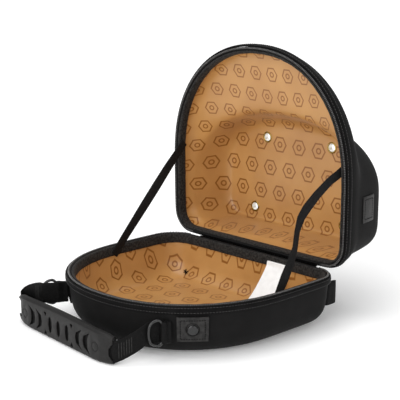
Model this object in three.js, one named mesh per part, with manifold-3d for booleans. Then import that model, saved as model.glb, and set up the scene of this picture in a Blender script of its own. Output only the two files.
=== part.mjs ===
// Carrier case for a baseball cap, lying open: a shallow tray and a domed lid of moulded, padded
// cloth, zipped together round the rim and joined at the back by a strip of cloth.
// Millimetres. The origin is on the floor under the middle of the tray, +Z is up, the hinge runs
// along X at the back, the nose and the handle point to -Y and the open lid stands at +Y.

import * as THREE from 'three';
import { mergeVertices } from 'three/addons/utils/BufferGeometryUtils.js';
import Module from 'manifold-3d';

const wasm = await Module();
wasm.setup();

// Outline of the two halves, at the outer edge of the zip
const CASE_WIDTH = 299;
const HINGE_WIDTH = 298;
const CASE_LENGTH = 262.5;
const WIDEST_FROM_HINGE = 113;
const TRAY_CORNER = 36;
const LID_CORNER = 30;
const NOSE_POWER = 2.03;
const SIDE_POWER = 2.2;
// The rim is narrower along the hinge, where it has no zip: this share of every inset is left
const HINGE_SHARE = 0.73;

// Steps round one side of an outline
const CORNER_STEPS = 5;
const SIDE_STEPS = 3;
const NOSE_STEPS = 9;

// Heights and depths
const TRAY_HEIGHT = 63.5;
const BASE_FILLET = 28;
const TRAY_SLOPE = 0.105;
const NOSE_LEDGE = 46;
const SIDE_LEDGE = 32;
const DOME_DEPTH = 92;
const LEDGE_START = 68;

// Walls and the clearance between pieces that lie on each other
const SHELL_WALL = 4.5;
const LINING_WALL = 1.2;
const BINDING_WALL = 2;
const GAP = 0.3;

// Rim, measured inwards from the outline and down from the top of the rim
const SHELL_INSET = 1.3;
const SHELL_TOP = 2.2;
const LINING_TOP = 4;
const BAND_WALL = 2.7;
const BAND_HEIGHT = 8.9;
const BINDING_HEIGHT = 12.3;
const ZIP_TAPE = 0.9;
const ZIP_COIL = 1.6;

// Crown of the dome: where its wall leaves the ledge, and its flat end
const CROWN_WIDTH = 288;
const CROWN_LENGTH = 178;
const CROWN_WIDEST = 92;
const CROWN_HINGE_INSET = 4;
const CROWN_CORNER = 34;
const PANEL_WIDTH = 250;
const PANEL_LENGTH = 146;
const PANEL_WIDEST = 82;
const PANEL_HINGE_INSET = 12;
const PANEL_CORNER = 28;
// The end panel shrinks by this share of a wall's thickness, and the wall lies square to the end
// from this rise on
const PANEL_INSET_SHARE = 0.6;
const FULL_WALL_RISE = 57.5;

// Lid, open
const LID_OPENING = 89.6;
const LID_BACK = 2;
const LID_LIFT = 1;

// Vent eyelets in the end of the dome: across as shares of its half width, back as shares of its
// length from the hinge side
const EYELET_HOLE = 5.4;
const EYELET_BORE = 4.2;
const EYELET_FLANGE = 7.3;
const EYELET_METAL = 0.7;
const EYELET_SIDES = 10;
const EYELETS = [
  { name: 'eyelet_upper_left', across: -0.448, back: 0.873 },
  { name: 'eyelet_upper_right', across: 0.448, back: 0.873 },
  { name: 'eyelet_lower_left', across: -0.624, back: 0.127 },
  { name: 'eyelet_lower_right', across: 0.624, back: 0.127 },
];

// Section of the outer band, as shares of its wall outwards and of its height down
const BAND_SECTION = [
  { across: 0, down: 1 },
  { across: 0, down: 0.1 },
  { across: 0.2, down: 0 },
  { across: 0.52, down: 0 },
  { across: 0.66, down: 0.22 },
  { across: 1, down: 0.36 },
  { across: 1, down: 0.86 },
  { across: 0.7, down: 1 },
];
// How far the band stands above the top of the shell
const BAND_RISE = 1.6;
const COIL_INSET = 1;
const COIL_WIDTH = 1.9;
const BINDING_ROUND = 3.4;
const BINDING_SHOULDER = 1.2;
const BINDING_RISE = 1.6;

// Cloth hinge between the outer bands
const HINGE_STRIP_LENGTH = 225;
const HINGE_STRIP_WALL = 1.2;

// Elastic stays from the lid's rim to the tray's
const STAY_WIDTH = 12;
const STAY_WALL = 1.2;

// Care label and the folded cloth tag on the rear corner of the tray
const LABEL_WIDTH = 34;
const LABEL_MIDDLE = 50;
const LABEL_WALL = 0.5;
const TAG_WALL = 2.6;
const TAG_INSET = 19;

// Leather patch on the side of the dome
const SIDE_PATCH_HEIGHT = 33;
const SIDE_PATCH_MIDDLE = 69;
const LEATHER_WALL = 1.2;

// Leather patches that hold the rings, on the front of the tray; angles round the nose in degrees
const RING_PATCH_FROM = 36.2;
const RING_PATCH_TO = 50.6;
const RING_PATCH_HEIGHT = 30;
const RING_PATCH_MIDDLE = 35.5;
const RING_PATCH_WALL = 2;
const RING_PATCH_STEPS = 4;

// Stud through the middle of each patch
const RIVET_RADIUS = 6.4;
const RIVET_HEIGHT = 2.2;
const RIVET_FLAT = 5.1;
const RIVET_SIDES = 10;

// D rings: bent wire, taller than it is deep, with the straight bar at the tab
const RING_WIRE = 3.5;
const RING_HEIGHT = 31;
const RING_DEPTH = 17.5;
const RING_POWER = 3;
const RING_SIDES = 6;
const RING_STEPS = 8;

// Webbing, one inch wide. The tabs behind the rings close at a share of their length.
const WEBBING_WIDTH = 25.4;
const WEBBING_WALL = 1.4;
const TAB_SLACK = 0.45;
const TAB_STRAIGHT = 1.5;
const RING_CLEAR = 1.3;
const TAB_PINCH_SHARE = 0.6;
const STRETCH_STEPS = 6;

// Grip: a sleeve that is straight in the middle and bends towards the case at both ends. Its
// middle stands ahead of the tray's nose.
const GRIP_REACH = 98;
const GRIP_HEIGHT = 38.2;
const GRIP_STRAIGHT = 68;
const GRIP_BEND_RADIUS = 70;
const GRIP_WALL = 9.6;
const GRIP_EDGE = 2.6;
const SLOT_WALL = 2.2;
const SLOT_HEIGHT = 26.1;
const SLOT_EDGE = 0.5;
const SLOT_OUT = 1.9;
const GRIP_TURN = -5.14;
const GRIP_ACROSS = -37.5;
const GRIP_AHEAD = 21.5;

// Hinge strip: out from the hinge line as shares of the bands' reach, down as shares of their height
const HINGE_ROWS = [
  { out: 0.91, down: 0.9 },
  { out: 0.91, down: 0.416 },
  { out: 1.49, down: 0.213 },
  { out: 2.71, down: 0.135 },
  { out: 5.04, down: 0.135 },
];

// Care label: distance from the hinge and height, as shares of the tray's height
const LABEL_ROWS = [
  { back: 0.132, up: 0.913 },
  { back: 0.148, up: 0.819 },
  { back: 0.22, up: 0.709 },
  { back: 0.331, up: 0.567 },
  { back: 0.472, up: 0.409 },
  { back: 0.598, up: 0.284 },
  { back: 0.724, up: 0.189 },
];

// Corner tag: distance from the hinge, height and half length, as shares of the tray's height
const TAG_ROWS = [
  { back: -0.0016, up: 0.315, reach: 0.148 },
  { back: -0.0339, up: 0.787, reach: 0.1157 },
];

// Stays: inwards from the binding's face as shares of their width; distance from the hinge and
// height over the tray's rim as shares of the distance to the widest place; turn in degrees
const LEFT_STAY = [
  { inset: 0.183, back: -0.08, up: 1.09, turn: 0 },
  { inset: 0.158, back: 0.027, up: 0.979, turn: 0 },
  { inset: 0.075, back: 0.177, up: 0.821, turn: 12 },
  { inset: 0.083, back: 0.36, up: 0.628, turn: 25 },
  { inset: 0.092, back: 0.549, up: 0.431, turn: 20 },
  { inset: 0.1, back: 0.92, up: 0.042, turn: 0 },
  { inset: 0.192, back: 1.053, up: -0.098, turn: 0 },
];
const RIGHT_STAY = [
  { inset: 0.183, back: -0.071, up: 1.102, turn: 0 },
  { inset: 0.192, back: 0.018, up: 1.062, turn: 0 },
  { inset: 0.325, back: 0.124, up: 1.013, turn: 0 },
  { inset: 0.908, back: 0.254, up: 0.874, turn: 10 },
  { inset: 1.408, back: 0.348, up: 0.741, turn: 20 },
  { inset: 1.658, back: 0.409, up: 0.639, turn: 10 },
  { inset: 1.783, back: 0.452, up: 0.493, turn: -10 },
  { inset: 1.7, back: 0.489, up: 0.328, turn: -10 },
  { inset: 1.408, back: 0.585, up: 0.201, turn: 10 },
  { inset: 0.908, back: 0.736, up: 0.082, turn: 20 },
  { inset: 0.492, back: 0.866, up: -0.03, turn: 10 },
  { inset: 0.225, back: 0.952, up: -0.098, turn: 0 },
];

// Side patch: out as shares of the crown's half width, rise as shares of the dome's depth
const SIDE_PATCH_ROWS = [
  { out: 1, rise: 0.435 },
  { out: 0.9858, rise: 0.596 },
  { out: 0.9712, rise: 0.717 },
];

// Zip slider: out from the corner's arc, down from the rim, turned round the corner in degrees
const SLIDER = { out: 3.8, drop: 9.5, turn: 40, length: 10, thickness: 4, height: 10 };

// Rings: place of the bar on the tray's wall, its heading and the tab behind it. The handle's
// webbing starts at the patch, by a foot's length further back than the tab, and passes on the
// case's side of the ring. It leaves the ring at a heading, with a reach from the ring and one
// from the grip, and a drop.
const RINGS = [
  {
    name: 'near', side: 1, angle: 56.2, up: 33, out: 6.3, turn: -118, tab: 8.4, foot: -2.3,
    leave: -105, reach: 12.9, enter: 3, drop: 9.4,
  },
  {
    name: 'far', side: -1, angle: 51.8, up: 37, out: 14.5, turn: -126.9, tab: 12.1, foot: 1.2,
    leave: -165, reach: 4, enter: 38.8, drop: -2.7,
  },
];

// Grip: lengths from its middle as shares of its reach; bottom, top and middle of the slot as
// shares of its height
const GRIP_ROWS = [
  { along: -1, low: 0.125, high: 0.86, slot: 0.492 },
  { along: -0.918, low: 0.065, high: 0.916, slot: 0.482 },
  { along: -0.806, low: 0.013, high: 0.948, slot: 0.471 },
  { along: -0.694, low: 0, high: 0.963, slot: 0.471 },
  { along: -0.347, low: 0, high: 0.99, slot: 0.471 },
  { along: 0, low: 0, high: 1, slot: 0.471 },
  { along: 0.347, low: 0, high: 0.99, slot: 0.471 },
  { along: 0.694, low: 0, high: 0.963, slot: 0.458 },
  { along: 0.816, low: 0, high: 0.948, slot: 0.437 },
  { along: 0.918, low: 0.013, high: 0.916, slot: 0.414 },
  { along: 1, low: 0.031, high: 0.838, slot: 0.393 },
];

// Cut-outs of the grip: three lenses, two pairs of nicks and two pairs of crescents
const HOLE_MIDDLE = 17.3;
const LENS_HEIGHT = 20.5;
const LENS_WIDTH = 8;
const LENS_SIDES = 8;
const LENSES = [-18, 0, 18];
const NICK = 28;
const NICK_WIDTH = 6;
const NICK_DEPTH = 5.5;
const NICK_SPREAD = 27;
const CRESCENTS = [
  { peak: 35.3, inner: 43.2 },
  { peak: 50.7, inner: 60.2 },
];
const CRESCENT_DEPTH = 14.5;
const CRESCENT_HEIGHT = 26;
const CRESCENT_STEPS = 4;

// Round notch in each end of the grip
const NOTCH_RADIUS = 11.5;
const NOTCH_PAST = 6;
const NOTCH_SIDES = 10;

const finish = (color, roughness, metalness = 0) =>
  new THREE.MeshStandardMaterial({ color, roughness, metalness });
const BLACK_CLOTH = finish(0x1e1c1c, 0.75);
const BLACK_KNIT = finish(0x222020, 0.9);
const TAN_LINING = finish(0xbe8250, 0.55);
const ZIP_NYLON = finish(0x171616, 0.45);
const BRASS = finish(0xb0914f, 0.3, 0.9);
const LEATHER = finish(0x2c2a29, 0.6);
const BLACK_METAL = finish(0x17171a, 0.3, 0.9);
const WEBBING = finish(0x1b1a1a, 0.85);
const GRIP_RUBBER = finish(0x3d3b39, 0.7);
const LABEL_SATIN = finish(0xf2f0ec, 0.6);

const trayPlan = {
  width: CASE_WIDTH, hingeWidth: HINGE_WIDTH, length: CASE_LENGTH,
  widest: WIDEST_FROM_HINGE, corner: TRAY_CORNER, hingeInset: 0,
};
const lidPlan = { ...trayPlan, corner: LID_CORNER };
const crownPlan = {
  width: CROWN_WIDTH, hingeWidth: CROWN_WIDTH, length: CROWN_LENGTH,
  widest: CROWN_WIDEST, corner: CROWN_CORNER, hingeInset: CROWN_HINGE_INSET,
};
const panelPlan = {
  width: PANEL_WIDTH, hingeWidth: PANEL_WIDTH, length: PANEL_LENGTH,
  widest: PANEL_WIDEST, corner: PANEL_CORNER, hingeInset: PANEL_HINGE_INSET,
};

// Points round an outline, drawn inset from its edge, as x and the distance from the hinge.
function outline(plan, inset) {
  const reach = plan.width / 2 - inset;
  const hingeReach = plan.hingeWidth / 2 - inset;
  const start = plan.hingeInset + inset * HINGE_SHARE;
  const corner = plan.corner * Math.exp(-inset / plan.corner);
  const nose = plan.length - inset;
  const side = [[0, start], [hingeReach - corner, start]];
  for (let i = 1; i <= CORNER_STEPS; i++) {
    const turn = Math.PI / 2 * i / CORNER_STEPS;
    side.push([hingeReach - corner * (1 - Math.sin(turn)), start + corner * (1 - Math.cos(turn))]);
  }
  for (let i = 1; i <= SIDE_STEPS; i++) {
    const share = i / SIDE_STEPS;
    side.push([
      THREE.MathUtils.lerp(hingeReach, reach, Math.sin(share * Math.PI / 2)),
      THREE.MathUtils.lerp(start + corner, plan.widest, share),
    ]);
  }
  for (let i = 1; i <= NOSE_STEPS; i++) {
    const turn = Math.PI / 2 * i / NOSE_STEPS;
    const across = i === NOSE_STEPS ? 0 : Math.cos(turn) ** (2 / SIDE_POWER);
    side.push([reach * across, plan.widest + (nose - plan.widest) * Math.sin(turn) ** (2 / NOSE_POWER)]);
  }
  const mirrored = side.slice(1, -1).reverse().map(([x, back]) => [-x, back]);
  return [...side, ...mirrored];
}

// A ring of points at one height above the rim, or below it where the height is negative.
function ring(plan, inset, height) {
  return outline(plan, inset).map(([x, back]) => new THREE.Vector3(x, -back, height));
}

function volumeOf(points, faces) {
  let sum = 0;
  for (let i = 0; i < faces.length; i += 3) {
    const [a, b, c] = [points[faces[i]], points[faces[i + 1]], points[faces[i + 2]]];
    sum += a.dot(b.clone().cross(c)) / 6;
  }
  return sum;
}

// One closed body through rings of points, joined end to start or capped at both ends. Both halves
// of a ring lean the same way, so that a thin twisted strap keeps its thickness.
function loft(rings, joined = false) {
  const count = rings[0].length;
  const points = rings.flat();
  const faces = [];
  const spans = joined ? rings.length : rings.length - 1;
  for (let r = 0; r < spans; r++) {
    const here = r * count;
    const next = (r + 1) % rings.length * count;
    for (let i = 0; i < count; i++) {
      const j = (i + 1) % count;
      if (i < count / 2) {
        faces.push(here + i, here + j, next + j, here + i, next + j, next + i);
      } else {
        faces.push(here + i, here + j, next + i, here + j, next + j, next + i);
      }
    }
  }
  if (!joined) {
    const end = (rings.length - 1) * count;
    let low = 0;
    let high = count - 1;
    while (high - low > 1) {
      faces.push(low, high, low + 1, end + low, end + low + 1, end + high);
      low++;
      if (high - low > 1) {
        faces.push(low, high, high - 1, end + low, end + high - 1, end + high);
        high--;
      }
    }
  }
  if (volumeOf(points, faces) < 0) {
    faces.reverse();
  }
  const geometry = new THREE.BufferGeometry();
  const numbers = points.flatMap((point) => [point.x, point.y, point.z]);
  geometry.setAttribute('position', new THREE.Float32BufferAttribute(numbers, 3));
  geometry.setIndex(faces);
  return geometry;
}

function toSolid(geometry) {
  const bare = geometry.clone();
  bare.deleteAttribute('normal');
  bare.deleteAttribute('uv');
  const merged = mergeVertices(bare, 1e-4);
  return new wasm.Manifold(new wasm.Mesh({
    numProp: 3,
    vertProperties: new Float32Array(merged.attributes.position.array),
    triVerts: new Uint32Array(merged.index.array),
  }));
}

function fromSolid(solid) {
  const mesh = solid.getMesh();
  const geometry = new THREE.BufferGeometry();
  geometry.setAttribute('position', new THREE.Float32BufferAttribute(mesh.vertProperties, 3));
  geometry.setIndex(Array.from(mesh.triVerts));
  return geometry;
}

function cut(geometry, tools) {
  let solid = toSolid(geometry);
  for (const tool of tools) {
    solid = solid.subtract(toSolid(tool));
  }
  return fromSolid(solid);
}

function piece(name, geometry, material) {
  const mesh = new THREE.Mesh(geometry, material);
  mesh.name = name;
  return mesh;
}

// Padded tray wall: rings of the surface that lies this far inside the outer face.
function trayRings(inward, top) {
  const foot = BASE_FILLET - inward;
  const straight = TRAY_HEIGHT - BASE_FILLET;
  const inset = SHELL_INSET + inward;
  const rings = [ring(trayPlan, inset + TRAY_SLOPE * top, -top)];
  const steps = 5;
  for (let i = 0; i <= steps; i++) {
    const turn = Math.PI / 2 * i / steps;
    const lean = TRAY_SLOPE * (straight + foot * Math.sin(turn));
    const inwards = inset + lean + foot * (1 - Math.cos(turn));
    rings.push(ring(trayPlan, inwards, -straight - foot * Math.sin(turn)));
  }
  return rings;
}

// Rows of the lid's surface from the rim to the flat end. Each point lies between the rim, the
// crown's foot and the end panel, by the share of each, at a share of the ledge's and dome's rise.
const LID_ROWS = [
  { rim: 1, crown: 0, ledge: 0.46, dome: 0 },
  { rim: 0.86, crown: 0.14, ledge: 0.64, dome: 0 },
  { rim: 0.48, crown: 0.52, ledge: 0.82, dome: 0 },
  { rim: 0.14, crown: 0.86, ledge: 0.96, dome: 0 },
  { rim: 0, crown: 0.98, ledge: 1, dome: 0.08 },
  { rim: 0, crown: 0.84, ledge: 1, dome: 0.38 },
  { rim: 0, crown: 0.62, ledge: 1, dome: 0.76 },
  { rim: 0, crown: 0.42, ledge: 1, dome: 0.91 },
  { rim: 0, crown: 0.2, ledge: 1, dome: 0.98 },
  { rim: 0, crown: 0, ledge: 1, dome: 1 },
];

// The ledge under the bill is highest at the nose and lower along the sides.
function ledgeHeight(back) {
  const share = THREE.MathUtils.smoothstep(back, LEDGE_START, CASE_LENGTH);
  return THREE.MathUtils.lerp(SIDE_LEDGE, NOSE_LEDGE, share);
}

function lidRings(inward, top) {
  const rim = outline(lidPlan, SHELL_INSET + inward);
  const crown = outline(crownPlan, inward);
  const panel = outline(panelPlan, inward * PANEL_INSET_SHARE);
  const rings = [ring(lidPlan, SHELL_INSET + inward, top)];
  for (const row of LID_ROWS) {
    const flat = 1 - row.rim - row.crown;
    rings.push(rim.map(([x, back], i) => {
      const across = row.rim * x + row.crown * crown[i][0] + flat * panel[i][0];
      const along = row.rim * back + row.crown * crown[i][1] + flat * panel[i][1];
      const ledge = ledgeHeight(back);
      const rise = row.ledge * ledge + row.dome * (DOME_DEPTH - ledge);
      return new THREE.Vector3(across, -along, rise - inward * Math.min(1, rise / FULL_WALL_RISE));
    }));
  }
  return rings;
}

// A wall between two surfaces, from the outer face's middle over the rim to the inner face's.
function wall(outer, inner) {
  return loft([...outer.slice().reverse(), ...inner]);
}

const LINING_OUTER = SHELL_WALL + GAP;
const LINING_INNER = LINING_OUTER + LINING_WALL;
const BINDING_OUTER = SHELL_INSET + LINING_INNER + GAP;
const RIM_WIDTH = BINDING_OUTER + BINDING_WALL;

// A trim that runs round the rim: its section is a list of insets and drops below the rim.
function rimTrim(plan, section, slope, up) {
  return loft(section.map(({ inset, drop }) => ring(plan, inset + slope * drop, up * drop)), true);
}

const bandSection = BAND_SECTION.map(({ across, down }) => ({
  inset: SHELL_INSET - GAP - across * BAND_WALL,
  drop: SHELL_TOP - BAND_RISE + down * BAND_HEIGHT,
}));

const tapeDrop = SHELL_TOP - GAP;
const zipSection = [
  { inset: SHELL_INSET + GAP, drop: tapeDrop },
  { inset: SHELL_INSET + GAP, drop: tapeDrop - ZIP_TAPE },
  { inset: SHELL_INSET + COIL_INSET, drop: tapeDrop - ZIP_TAPE - ZIP_COIL },
  { inset: SHELL_INSET + COIL_INSET + COIL_WIDTH, drop: tapeDrop - ZIP_TAPE - ZIP_COIL },
  { inset: SHELL_INSET + SHELL_WALL, drop: tapeDrop - ZIP_TAPE / 2 },
  { inset: SHELL_INSET + SHELL_WALL, drop: tapeDrop },
];

const bindingSection = [
  { inset: RIM_WIDTH, drop: BINDING_HEIGHT },
  { inset: RIM_WIDTH, drop: BINDING_SHOULDER * 2 },
  { inset: RIM_WIDTH - BINDING_SHOULDER, drop: BINDING_SHOULDER / 2 },
  { inset: RIM_WIDTH - BINDING_ROUND, drop: 0 },
  { inset: RIM_WIDTH - BINDING_ROUND, drop: LINING_TOP - GAP - BINDING_RISE },
  { inset: BINDING_OUTER, drop: LINING_TOP - GAP },
  { inset: BINDING_OUTER, drop: BINDING_HEIGHT },
];

// A flat strap along a path: the vectors beside the path's points reach to its two edges.
function strap(path, halves, thickness) {
  return loft(path.map((point, i) => {
    const run = path[Math.min(i + 1, path.length - 1)].clone().sub(path[Math.max(i - 1, 0)]);
    const half = halves[Math.min(i, halves.length - 1)];
    const lift = run.cross(half).setLength(thickness / 2);
    return [
      point.clone().sub(half).sub(lift), point.clone().add(half).sub(lift),
      point.clone().add(half).add(lift), point.clone().sub(half).add(lift),
    ];
  }));
}

// Hollow rivet through the end of the dome: a bore with a flange inside and outside.
function eyelet(front, back) {
  const profile = [
    [EYELET_BORE, front], [EYELET_FLANGE, front], [EYELET_FLANGE, front + EYELET_METAL],
    [EYELET_HOLE - GAP, front + EYELET_METAL], [EYELET_HOLE - GAP, back - EYELET_METAL],
    [EYELET_FLANGE, back - EYELET_METAL], [EYELET_FLANGE, back], [EYELET_BORE, back], [EYELET_BORE, front],
  ].map(([radius, height]) => new THREE.Vector2(radius, height));
  return new THREE.LatheGeometry(profile, EYELET_SIDES).rotateX(Math.PI / 2);
}

// A point by its place across, its distance from the hinge and its height.
const spot = (x, back, up) => new THREE.Vector3(x, -back, up);

// A stay on one side: at each row it is turned about its own run, from flat against the side wall.
function stay(rows, side) {
  const path = rows.map(({ inset, back, up }) => spot(
    side * (CASE_WIDTH / 2 - RIM_WIDTH - inset * STAY_WIDTH),
    back * WIDEST_FROM_HINGE, TRAY_HEIGHT + up * WIDEST_FROM_HINGE));
  const halves = path.map((point, i) => {
    const run = path[Math.min(i + 1, path.length - 1)].clone().sub(path[Math.max(i - 1, 0)]).normalize();
    const half = run.clone().cross(new THREE.Vector3(1, 0, 0)).setLength(STAY_WIDTH / 2);
    return half.applyAxisAngle(run, THREE.MathUtils.degToRad(rows[i].turn));
  });
  return strap(path, halves, STAY_WALL);
}

// A point at this angle round the nose, this far up and this far out from the tray's outer face.
function onTray(angle, up, out) {
  const turn = THREE.MathUtils.degToRad(angle);
  const foot = BASE_FILLET - Math.sqrt(BASE_FILLET ** 2 - Math.max(0, BASE_FILLET - up) ** 2);
  const inset = SHELL_INSET + TRAY_SLOPE * (TRAY_HEIGHT - up) + foot - out;
  const x = (CASE_WIDTH / 2 - inset) * Math.cos(turn) ** (2 / SIDE_POWER);
  const past = (CASE_LENGTH - inset - WIDEST_FROM_HINGE) * Math.sin(turn) ** (2 / NOSE_POWER);
  return new THREE.Vector3(x, -WIDEST_FROM_HINGE - past, up);
}

// Patch that follows the wall at the front of the tray.
function ringPatch() {
  const rise = [
    RING_PATCH_MIDDLE - RING_PATCH_HEIGHT / 2, BASE_FILLET, RING_PATCH_MIDDLE + RING_PATCH_HEIGHT / 2,
  ];
  const columns = [];
  for (let i = 0; i <= RING_PATCH_STEPS; i++) {
    const angle = THREE.MathUtils.lerp(RING_PATCH_FROM, RING_PATCH_TO, i / RING_PATCH_STEPS);
    columns.push([
      ...rise.map((up) => onTray(angle, up, GAP)),
      ...rise.toReversed().map((up) => onTray(angle, up, GAP + RING_PATCH_WALL)),
    ]);
  }
  return loft(columns);
}

// Flat-headed stud on the middle of a ring patch.
function rivet() {
  const profile = [
    [0, 0], [RIVET_RADIUS, 0], [RIVET_RADIUS, RIVET_HEIGHT / 2],
    [RIVET_FLAT, RIVET_HEIGHT], [0, RIVET_HEIGHT],
  ].map(([radius, height]) => new THREE.Vector2(radius, height));
  const middle = (RING_PATCH_FROM + RING_PATCH_TO) / 2;
  const foot = onTray(middle, RING_PATCH_MIDDLE, RING_PATCH_WALL + 2 * GAP);
  const along = onTray(middle + 1, RING_PATCH_MIDDLE, 0).sub(onTray(middle - 1, RING_PATCH_MIDDLE, 0));
  const rise = onTray(middle, RING_PATCH_MIDDLE + 1, 0).sub(onTray(middle, RING_PATCH_MIDDLE - 1, 0));
  const out = rise.cross(along).normalize();
  const geometry = new THREE.LatheGeometry(profile, RIVET_SIDES);
  geometry.applyQuaternion(new THREE.Quaternion().setFromUnitVectors(new THREE.Vector3(0, 1, 0), out));
  return geometry.translate(foot.x, foot.y, foot.z);
}

// The middle of a ring's bar, and the direction in which the rest of the ring reaches.
function ringBar({ side, angle, up, out }) {
  const bar = onTray(angle, up, out);
  bar.x *= side;
  return bar;
}

const heading = (degrees) => {
  const angle = THREE.MathUtils.degToRad(degrees);
  return new THREE.Vector3(Math.cos(angle), Math.sin(angle), 0);
};

function dRing(row) {
  const along = heading(row.turn);
  const bar = ringBar(row);
  const path = [];
  for (let i = 0; i <= RING_STEPS; i++) {
    const angle = Math.PI * (i / RING_STEPS - 0.5);
    const reach = RING_DEPTH * Math.cos(angle) ** (2 / RING_POWER);
    const rise = Math.sign(angle) * Math.abs(Math.sin(angle)) ** (2 / RING_POWER) * RING_HEIGHT / 2;
    path.push(bar.clone().addScaledVector(along, i % RING_STEPS ? reach : 0).setZ(row.up + rise));
  }
  const across = along.clone().cross(new THREE.Vector3(0, 0, 1));
  return loft(path.map((point, i) => {
    const before = point.clone().sub(path[(i + RING_STEPS) % path.length]).normalize();
    const after = path[(i + 1) % path.length].clone().sub(point).normalize();
    const side = before.clone().add(after).cross(across).normalize();
    const stretch = 1 / Math.sqrt((1 + before.dot(after)) / 2);
    return Array.from({ length: RING_SIDES }, (unused, k) => {
      const turn = 2 * Math.PI * k / RING_SIDES;
      return point.clone().addScaledVector(across, Math.cos(turn) * RING_WIRE / 2)
        .addScaledVector(side, Math.sin(turn) * stretch * RING_WIRE / 2);
    });
  }), true);
}

const upright = [new THREE.Vector3(0, 0, WEBBING_WIDTH / 2)];
const tabRound = (RING_WIRE + WEBBING_WALL) / 2 + TAB_SLACK;
const tabFlat = (WEBBING_WALL + GAP) / 2;

// Path beside a ring: how far ahead of its bar and how far to the case's side of it.
function besideRing(row, places) {
  const along = heading(row.turn);
  const inwards = along.clone().cross(new THREE.Vector3(0, 0, row.side));
  return places.map(([ahead, beside]) =>
    ringBar(row).addScaledVector(along, ahead).addScaledVector(inwards, beside));
}

// Loop of webbing from the patch round the ring's bar and back.
function ringTab(row) {
  const slant = tabRound * Math.SQRT1_2;
  const pinch = -row.tab * TAB_PINCH_SHARE;
  return strap(besideRing(row, [
    [-row.tab, -tabFlat], [pinch, -tabFlat], [-TAB_STRAIGHT, -tabRound], [slant, -slant], [tabRound, 0],
    [slant, slant], [-TAB_STRAIGHT, tabRound], [pinch, tabFlat], [-row.tab, tabFlat],
  ]), upright, WEBBING_WALL);
}

// Middle line of the grip: the point at this length from the grip's middle and its direction.
function gripLine(length) {
  const bent = Math.max(0, Math.abs(length) - GRIP_STRAIGHT) / GRIP_BEND_RADIUS;
  const side = Math.sign(length);
  const x = side * (Math.min(Math.abs(length), GRIP_STRAIGHT) + GRIP_BEND_RADIUS * Math.sin(bent));
  const y = GRIP_BEND_RADIUS * (1 - Math.cos(bent));
  const out = new THREE.Vector3(side * Math.sin(bent), -Math.cos(bent), 0);
  return { at: new THREE.Vector3(x, y, 0), out };
}

// Closed loop of eight points round a section of the grip, moved out from its middle line.
function gripSection(along, outwards, half, low, high, edge) {
  const { at, out } = gripLine(along * GRIP_REACH);
  at.addScaledVector(out, outwards);
  return [
    [-half, low + edge], [edge - half, low], [half - edge, low], [half, low + edge],
    [half, high - edge], [half - edge, high], [edge - half, high], [-half, high - edge],
  ].map(([off, up]) => at.clone().addScaledVector(out, off).setZ(up));
}

// A hole through the front wall of the grip, given as points along and up from the grip's middle.
function gripHole(points) {
  return loft([SLOT_OUT, GRIP_WALL].map((off) => points.map(([length, up]) => {
    const { at, out } = gripLine(length);
    return at.clone().addScaledVector(out, off).setZ(up);
  })));
}

// Points round an ellipse on the front wall, in the middle of the grip's height.
function lensPoints(middle) {
  return Array.from({ length: LENS_SIDES }, (unused, i) => {
    const turn = 2 * Math.PI * i / LENS_SIDES;
    return [middle + Math.cos(turn) * LENS_WIDTH / 2, HOLE_MIDDLE + Math.sin(turn) * LENS_HEIGHT / 2];
  });
}

// Crescent with its tips towards the end of the grip, in pieces that are each convex.
function crescent({ peak, inner }, side) {
  const tip = peak + CRESCENT_DEPTH;
  const arc = (from) => Array.from({ length: CRESCENT_STEPS + 1 }, (unused, i) => {
    const share = 2 * i / CRESCENT_STEPS - 1;
    return [tip - (tip - from) * Math.sqrt(1 - share ** 2), HOLE_MIDDLE + share * CRESCENT_HEIGHT / 2];
  });
  const outside = arc(peak);
  const inside = arc(inner);
  return outside.slice(1).map((point, i) =>
    [outside[i], point, inside[i + 1], inside[i]].map(([length, up]) => [side * length, up]));
}

function grip() {
  const outer = GRIP_ROWS.map(({ along, low, high }) =>
    gripSection(along, 0, GRIP_WALL / 2, low * GRIP_HEIGHT, high * GRIP_HEIGHT, GRIP_EDGE));
  const inner = GRIP_ROWS.map(({ along, slot }) => gripSection(along, SLOT_OUT, SLOT_WALL / 2,
    slot * GRIP_HEIGHT - SLOT_HEIGHT / 2, slot * GRIP_HEIGHT + SLOT_HEIGHT / 2, SLOT_EDGE));
  return loft([...outer, ...inner.reverse()], true);
}

const gripFrame = new THREE.Matrix4().makeRotationZ(THREE.MathUtils.degToRad(GRIP_TURN))
  .setPosition(GRIP_ACROSS, -CASE_LENGTH - GRIP_AHEAD, 0);

// Cut-outs of the front wall, down to the slot, and the round notch in each end.
function gripHoles() {
  const nicks = [-1, 1].flatMap((side) => [-1, 1].map((end) => [-1, 0, 1].map((along) =>
    [side * (NICK + along * NICK_WIDTH / 2),
      HOLE_MIDDLE + end * (NICK_SPREAD / 2 - (along ? 0 : NICK_DEPTH))])));
  const arcs = [-1, 1].flatMap((side) => CRESCENTS.flatMap((row) => crescent(row, side)));
  const notches = [GRIP_ROWS[0], GRIP_ROWS[GRIP_ROWS.length - 1]].map(({ along, slot }) => {
    const { at, out } = gripLine(along * GRIP_REACH);
    const middle = at.clone().addScaledVector(new THREE.Vector3(-out.y, out.x, 0), NOTCH_PAST);
    return new THREE.CylinderGeometry(NOTCH_RADIUS, NOTCH_RADIUS, GRIP_WALL * 2, NOTCH_SIDES)
      .applyQuaternion(new THREE.Quaternion().setFromUnitVectors(new THREE.Vector3(0, 1, 0), out))
      .translate(middle.x, middle.y, slot * GRIP_HEIGHT);
  });
  return [...[...LENSES.map(lensPoints), ...nicks, ...arcs].map(gripHole), ...notches];
}

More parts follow.
